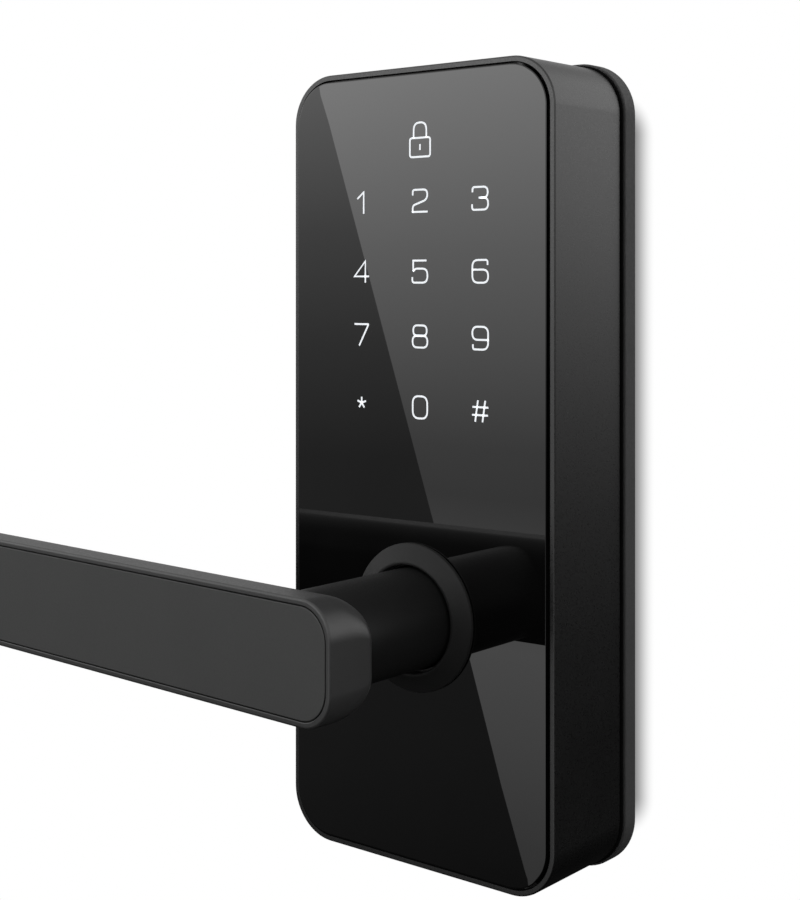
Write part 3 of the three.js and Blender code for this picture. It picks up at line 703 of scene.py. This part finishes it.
def make_ring():
    """A cone round the neck that sits on the glass, with a sleeve through the web."""
    bore = 10.7 * MM
    seat = RING_LOW.y + 2.2 * MM
    outer = RING_HIGH.x
    sleeve, sleeve_bore = 12.7 * MM, 12 * MM
    front = RING_LOW.y
    return turned_mesh("ring_cone", [
        (bore, front + 0.25 * MM),
        (bore + 0.08 * MM, front + 0.08 * MM),
        (bore + 0.25 * MM, front),
        (bore + 0.5 * MM, front),
        (bore + 0.75 * MM, front + 0.06 * MM),
        (outer - 0.35 * MM, seat - 0.72 * MM),
        (outer - 0.1 * MM, seat - 0.55 * MM),
        (outer, seat - 0.3 * MM),
        (outer, seat),
        (sleeve, seat),
        (sleeve, RING_HIGH.y),
        (sleeve_bore, RING_HIGH.y),
        (sleeve_bore, seat - 0.4 * MM),
        (bore, seat - 0.4 * MM),
    ], count=128)


POSTS = ("post_left", "post_right", "post_top")


def screw_places():
    return [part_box(f"housing_screw_{i}") for i in range(1, 5)]


def centre_of(low, high):
    return (low.x + high.x) / 2, (low.z + high.z) / 2


def make_plate():
    """The mounting plate with its holes, and two shallow pockets in its back."""
    neck_r, cable_r, post_r, screw_r = 12.5 * MM, 5.3 * MM, 4.2 * MM, 3.2 * MM
    holes = [round_outline(neck_r, 0, 0, 72)]
    holes.append(round_outline(cable_r, *centre_of(*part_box("cable_grommet")), 40))
    for name in POSTS:
        holes.append(round_outline(post_r, *centre_of(*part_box(name)), 40))
    for low, high in screw_places():
        holes.append(round_outline(screw_r, *centre_of(low, high), 40))
    outline = panel_outline((PLATE_HIGH.x - PLATE_LOW.x - PANEL_W) / 2)
    upper = rect_outline(44 * MM, 46 * MM, 4 * MM, 0, 62 * MM, 8)
    lower = rect_outline(38 * MM, 16 * MM, 4 * MM, 0, -32 * MM, 8)
    rounds = (0.25 * MM, 0.4 * MM)
    return plate_mesh("mounting_plate", outline, PLATE_LOW.y, PLATE_HIGH.y, rounds, holes,
                      pockets=[(upper, 1.6 * MM, 0.3 * MM), (lower, 0.8 * MM, 0.2 * MM)])


def make_frame_strip(name, low, high, outer_grow, inner_grow, rounding):
    """A flat frame that follows the panel's outline."""
    inner = panel_outline(inner_grow)
    return plate_mesh(name, panel_outline(outer_grow), low.y, high.y, (rounding, rounding), [inner],
                      chamfer=rounding / 2)


def make_post(node):
    """A post with a chamfered end, a thread inside and a swaged collar in front of the plate."""
    low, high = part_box(node)
    x, z = centre_of(low, high)
    end, r, bore, middle = high.y, 3.9 * MM, 2.1 * MM, 0.2 * MM
    collar_r, collar, soft = 5.4 * MM, 1 * MM, 0.2 * MM
    chamfer, mouth = 0.6 * MM, 0.5 * MM
    profile = [(r, low.y + collar), (r, end - chamfer), (r - chamfer, end), (bore + mouth, end)]
    pitch, thread, turns = 0.8 * MM, 0.3 * MM, 20
    for turn in range(turns):
        y = end - mouth - turn * pitch
        profile += [(bore, y), (bore + thread, y - pitch / 2)]
    profile += [(bore, end - 17.5 * MM), (middle, end - 18 * MM), (middle, low.y)]
    profile += [(collar_r - soft, low.y), (collar_r, low.y + soft), (collar_r, low.y + collar)]
    return turned_mesh(node + "_turned", profile, x, z, 48)


def make_grommet():
    """A rubber ring with a lip on each side of the plate."""
    low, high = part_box("cable_grommet")
    x, z = centre_of(low, high)
    lip, neck, bore = high.x, 5.05 * MM, 3.2 * MM
    soft, draft = 0.2 * MM, 0.05 * MM
    front, back = -5.3 * MM, -0.8 * MM
    profile = [
        (bore, low.y + soft),
        (bore + soft, low.y),
        (lip - soft, low.y),
        (lip, low.y + soft),
        (lip, front),
        (neck, front + draft),
        (neck, back - draft),
        (lip - soft, back),
        (lip - soft, high.y - soft),
        (lip - 2 * soft, high.y),
        (bore + soft, high.y),
        (bore, high.y - soft),
    ]
    return turned_mesh("grommet_ring", profile, x, z, 56)


def make_screw(index, low, high):
    """A pan head with a cross recess and a threaded shank; the head faces the door."""
    x, z = centre_of(low, high)
    head, shank = (high.x - low.x) / 2, 1.45 * MM
    face, under = high.y, high.y - 1.5 * MM
    profile = [(0.02 * MM, face), (head * 0.7, face - 0.05 * MM), (head * 0.92, face - 0.25 * MM),
               (head, face - 0.6 * MM), (head, under), (shank, under)]
    pitch = 0.5 * MM
    turns = int((under - low.y - 1 * MM) / pitch)
    for turn in range(turns):
        y = under - 0.4 * MM - turn * pitch
        profile += [(shank, y), (shank - 0.25 * MM, y - pitch / 2)]
    profile += [(shank * 0.6, low.y + 0.2 * MM), (0.02 * MM, low.y)]
    screw = turned_mesh(f"plate_screw_{index}", profile, x, z, 32)
    for turn in (0, 1):
        long, short = 1.5 * MM, 0.35 * MM
        half_x, half_z = (long, short) if turn else (short, long)
        cut_with(screw, box_mesh("recess", (x - half_x, face - 0.9 * MM, z - half_z),
                                 (x + half_x, face + 1 * MM, z + half_z)))
    return screw


def make_spindle():
    """A square bar with rounded edges and a slot across its end."""
    low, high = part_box("spindle")
    bar = box_mesh("square_bar", low, high, 0.5 * MM)
    half = 0.5 * MM
    cut_with(bar, box_mesh(
        "end_slot",
        (-half, high.y - 16 * MM, low.z - half),
        (half, high.y + half, high.z + half),
    ))
    return bar


# ---------------------------------------------------------------- lever pieces
def lean_out(obj):
    """Moves a piece drawn flat at the origin to the leaning grip."""
    for vert in obj.data.vertices:
        x, y, z = vert.co
        vert.co = (
            x * math.cos(LEAN) + y * math.sin(LEAN),
            -x * math.sin(LEAN) + y * math.cos(LEAN) + RIM_FRONT - LEVER_OUT,
            z,
        )


def round_inset(radius, depth, y):
    """The inset at y of an edge rounded towards the face at that depth."""
    past = max(y - (depth - radius), 0)
    return radius - math.sqrt(max(radius ** 2 - past ** 2, 0))


def make_grip():
    """The grip, with a flat front, a pocket for the inlay and a D-shaped back."""
    outline = rect_outline(GRIP_BUTT - GRIP_TIP, LEVER_H, GRIP_CORNER, (GRIP_TIP + GRIP_BUTT) / 2, 0, 12)
    bm = bmesh.new()
    loops = []

    def level(y, side, end):
        corner = max(GRIP_CORNER - 0.7 * side, 0.4 * MM)
        loops.append(add_loop(bm, outline(end, side, corner), y))

    steps = 18
    for i in range(steps, -1, -1):
        a = math.pi / 2 * i / steps
        y = GRIP_DEPTH - GRIP_SIDE_ROUND * (1 - math.sin(a))
        level(y, round_inset(GRIP_SIDE_ROUND, GRIP_DEPTH, y), round_inset(GRIP_END_ROUND, GRIP_DEPTH, y))
    front_steps = 5
    for i in range(front_steps + 1):
        a = math.pi / 2 * i / front_steps
        inset = GRIP_FRONT_ROUND * (1 - math.cos(a))
        level(GRIP_FRONT_ROUND * (1 - math.sin(a)), inset, inset)
    land = INLAY_EDGE - 0.2 * MM
    for y, inset in ((0, land - 0.12 * MM), (0.12 * MM, land), (INLAY_DEPTH, land)):
        level(y, inset, inset)
    for first, second in zip(loops, loops[1:]):
        bridge(bm, first, second)
    fill(bm, [loops[0]])
    fill(bm, [loops[-1]])
    grip = finish_mesh("lever_grip", bm)
    lean_out(grip)
    return grip


def make_inlay():
    """The plate in the grip's pocket."""
    outline = rect_outline(GRIP_BUTT - GRIP_TIP - 2 * INLAY_EDGE, LEVER_H - 2 * INLAY_EDGE,
                           GRIP_CORNER - 0.7 * INLAY_EDGE, (GRIP_TIP + GRIP_BUTT) / 2, 0, 12)
    inlay = plate_mesh("lever_inlay_plate", outline, 0.05 * MM, INLAY_DEPTH - 0.2 * MM,
                       (0.18 * MM, 0.05 * MM))
    lean_out(inlay)
    return inlay


def make_neck():
    """A round neck with a blind bore from the back and a cross hole for the grub screw."""
    front = RIM_FRONT - LEVER_OUT + 4 * MM
    back = LEVER_HIGH.y
    blind = -47.5 * MM
    profile = [
        (0.02 * MM, front),
        (NECK_R - 1 * MM, front),
        (NECK_R, front + 1 * MM),
        (NECK_R, back - 0.4 * MM),
        (NECK_R - 0.4 * MM, back),
        (NECK_BORE, back),
        (NECK_BORE, blind),
        (0.02 * MM, blind),
    ]
    neck = turned_mesh("lever_neck", profile, 0, 0, 128)
    low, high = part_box("grub_screw")
    hole_r, reach, middle = 2.2 * MM, 4 * MM, 0.01 * MM
    hole = turned_mesh("grub_hole", [(middle, -reach), (hole_r, -reach), (hole_r, reach), (middle, reach)],
                       0, 0, 32)
    for vert in hole.data.vertices:
        x, y, z = vert.co
        vert.co = (x, z + (low.y + high.y) / 2, y - NECK_R)
    cut_with(neck, hole)
    return neck


# ---------------------------------------------------------------- keypad legend
DIGIT_W = 1.95 * MM  # half widths and heights of the stroke's centre line
DIGIT_H = 2.2 * MM
STROKE = 0.38 * MM
KEY_X = [-13.9 * MM, 1.4 * MM, 16.3 * MM]
KEY_Z = [83.0 * MM, 68.9 * MM, 56.0 * MM, 41.9 * MM]

# strokes in units of DIGIT_W and DIGIT_H: (corner radius in mm, closed, points)
GLYPHS = {
    "0": [(1.5, True, [(-0.95, -1), (0.95, -1), (0.95, 1), (-0.95, 1)])],
    "1": [(0.0, False, [(-0.6, 0.4), (0.27, 1), (0.27, -1)])],
    "2": [(1.3, False, [(-0.95, 0.5), (-0.95, 1), (0.95, 1), (0.95, 0.1), (-0.95, -0.42), (-0.95, -1)]),
          (0.0, False, [(-0.95, -0.92), (-0.95, -1), (1, -1)])],
    "3": [(1.3, False, [(-0.95, 0.55), (-0.95, 1), (0.92, 1), (0.92, 0.05), (-0.2, 0.05)]),
          (1.3, False, [(-0.2, 0.05), (0.97, 0.05), (0.97, -1), (-1, -1), (-1, -0.5)])],
    "4": [(0.0, False, [(0.5, -1), (0.5, 1), (-1, -0.42), (1, -0.42)])],
    "5": [(0.0, False, [(0.85, 1), (-0.88, 1), (-0.88, 0.02)]),
          (1.3, False, [(-0.88, 0.02), (-0.6, 0.27), (0.97, 0.27), (0.97, -1), (-1, -1), (-1, -0.5)])],
    "6": [(1.4, False, [(0.9, 0.55), (0.9, 1), (-0.97, 1), (-0.97, -1), (0.97, -1), (0.97, 0.15),
                        (-0.97, 0.15)])],
    "7": [(0.2, False, [(-1, 1), (0.95, 1), (-0.35, -1)])],
    "8": [(1.1, True, [(-0.88, 0.06), (0.88, 0.06), (0.88, 1), (-0.88, 1)]),
          (1.3, True, [(-0.97, -1), (0.97, -1), (0.97, 0.06), (-0.97, 0.06)])],
    "9": [(1.4, False, [(-0.9, -0.55), (-0.9, -1), (0.97, -1), (0.97, 1), (-0.97, 1), (-0.97, -0.15),
                        (0.97, -0.15)])],
    "hash": [(0.0, False, [(-0.62, -0.95), (-0.28, 0.95)]), (0.0, False, [(0.28, -0.95), (0.62, 0.95)]),
             (0.0, False, [(-0.95, 0.35), (1, 0.35)]), (0.0, False, [(-1, -0.35), (0.95, -0.35)])],
    "star": [(0.0, False, [(0, 0.1), (0.62 * math.cos(a), 0.1 + 0.54 * math.sin(a))])
             for a in (math.pi / 2 + 2 * math.pi * k / 5 for k in range(5))],
    "padlock": [(0.5, True, [(-1.15, -1.25), (1.15, -1.25), (1.15, 0.25), (-1.15, 0.25)]),
                (1.35, False, [(-0.72, 0.25), (-0.72, 1.45), (0.72, 1.45), (0.72, 0.25)]),
                (0.0, False, [(0, -0.72), (0, -0.25)])],
}
KEYS = [["1", "2", "3"], ["4", "5", "6"], ["7", "8", "9"], ["star", "0", "hash"]]


def soften(points, radius, closed):
    """The polyline with its corners turned into arcs."""
    if radius <= 0:
        return points
    result = []
    count = len(points)
    for i, point in enumerate(points):
        if not closed and i in (0, count - 1):
            result.append(point)
            continue
        before = points[i - 1] - point
        after = points[(i + 1) % count] - point
        reach = min(radius, before.length * 0.5, after.length * 0.5)
        start = point + before.normalized() * reach
        end = point + after.normalized() * reach
        for step in range(9):
            t = step / 8
            result.append(start * (1 - t) ** 2 + point * 2 * t * (1 - t) + end * t ** 2)
    return result


def ribbon(bm, points, closed, y):
    """A flat band along the points, STROKE wide, facing out."""
    count = len(points)
    left, right = [], []
    for i, point in enumerate(points):
        before = points[i - 1] if closed or i else point
        after = points[(i + 1) % count] if closed or i + 1 < count else point
        way_in = (point - before).normalized() if (point - before).length else None
        way_out = (after - point).normalized() if (after - point).length else None
        way_in, way_out = way_in or way_out, way_out or way_in
        across = Vector((-(way_in + way_out).y, (way_in + way_out).x)).normalized()
        normal = Vector((-way_in.y, way_in.x))
        reach = min(STROKE / 2 / max(across.dot(normal), 0.35), STROKE)
        left.append(bm.verts.new((point.x + across.x * reach, y, point.y + across.y * reach)))
        right.append(bm.verts.new((point.x - across.x * reach, y, point.y - across.y * reach)))
    last = count if closed else count - 1
    for i in range(last):
        j = (i + 1) % count
        bm.faces.new((left[i], left[j], right[j], right[i]))


def make_legend():
    """Every key's sign and the padlock, as one thin print on the glass."""
    bm = bmesh.new()
    y = GLASS_LOW.y - 0.03 * MM

    def draw(glyph, x, z, scale=1.0):
        for radius, closed, strokes in GLYPHS[glyph]:
            points = [Vector((x + px * DIGIT_W * scale, z + pz * DIGIT_H * scale)) for px, pz in strokes]
            ribbon(bm, soften(points, radius * MM * scale, closed), closed, y)

    for z, row in zip(KEY_Z, KEYS):
        for x, glyph in zip(KEY_X, row):
            draw(glyph, x, z)
    draw("padlock", KEY_X[1], GLASS_HIGH.z - 13.5 * MM, 1.15)
    geometry = bmesh.ops.extrude_face_region(bm, geom=bm.faces[:])
    moved = [g for g in geometry["geom"] if isinstance(g, bmesh.types.BMVert)]
    bmesh.ops.translate(bm, vec=(0, 0.02 * MM, 0), verts=moved)
    return finish_mesh("keypad_legend", bm, weighted=False)


# ---------------------------------------------------------------- putting it together
def place(obj, body, material, slot, *nodes):
    """Paints a piece and tells the frame its body and the nodes it stands for; slot is not used."""
    paint(obj, material)
    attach(obj, body)
    if nodes:
        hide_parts(*nodes)


def build():
    materials = make_materials()
    subparts = frame["record"]["subparts"]
    slots = {part["node"]: part["material_slot"] for part in subparts}
    for name, node in frame["nodes"].items():
        paint(node, materials[slots[name]])
        node.data.polygons.foreach_set("use_smooth", [True] * len(node.data.polygons))
        node.data.set_sharp_from_angle(angle=SMOOTH_ANGLE)

    def swap(obj, body, *nodes, finish=None):
        slot = slots[nodes[0]]
        place(obj, body, materials[finish or slot], slot, *nodes)

    shell = "escutcheon"
    swap(make_housing(), shell, "front_housing")
    swap(make_glass(), shell, "touch_glass")
    swap(make_ring(), shell, "ring_bezel", finish="ring")
    swap(make_plate(), shell, "back_plate", finish="plate")
    # the seal reaches past the housing's outline, so its near-black edge shows as painted shade in the gap
    # before the plate
    seal = make_frame_strip("seal_strip", SEAL_LOW, SEAL_HIGH, SEAL_OUTER, SEAL_INNER, 0.1 * MM)
    swap(seal, shell, "housing_seal", finish="seal")
    gasket = make_frame_strip("gasket_strip", GASKET_LOW, GASKET_HIGH, GASKET_OUTER, GASKET_INNER,
                              0.15 * MM)
    swap(gasket, shell, "door_gasket")
    swap(make_grommet(), shell, "cable_grommet")
    for node in POSTS:
        swap(make_post(node), shell, node)
    for i, (low, high) in enumerate(screw_places(), 1):
        swap(make_screw(i, low, high), shell, f"housing_screw_{i}")
    place(make_legend(), shell, materials["legend"], "diffuser")

    swap(make_grip(), "lever", "lever_handle", finish="lever_coat")
    # the neck's coat is painted darker than the grip's, as painted shade behind the grip
    place(make_neck(), "lever", materials["neck"], "coat")
    swap(make_inlay(), "lever", "lever_inlay", finish="inlay")
    swap(make_spindle(), "spindle", "spindle")


make_camera()
make_world()
make_floor()
make_door()
make_glare_card()
make_lights()
build()
bpy.context.scene.view_settings.view_transform = "Standard"
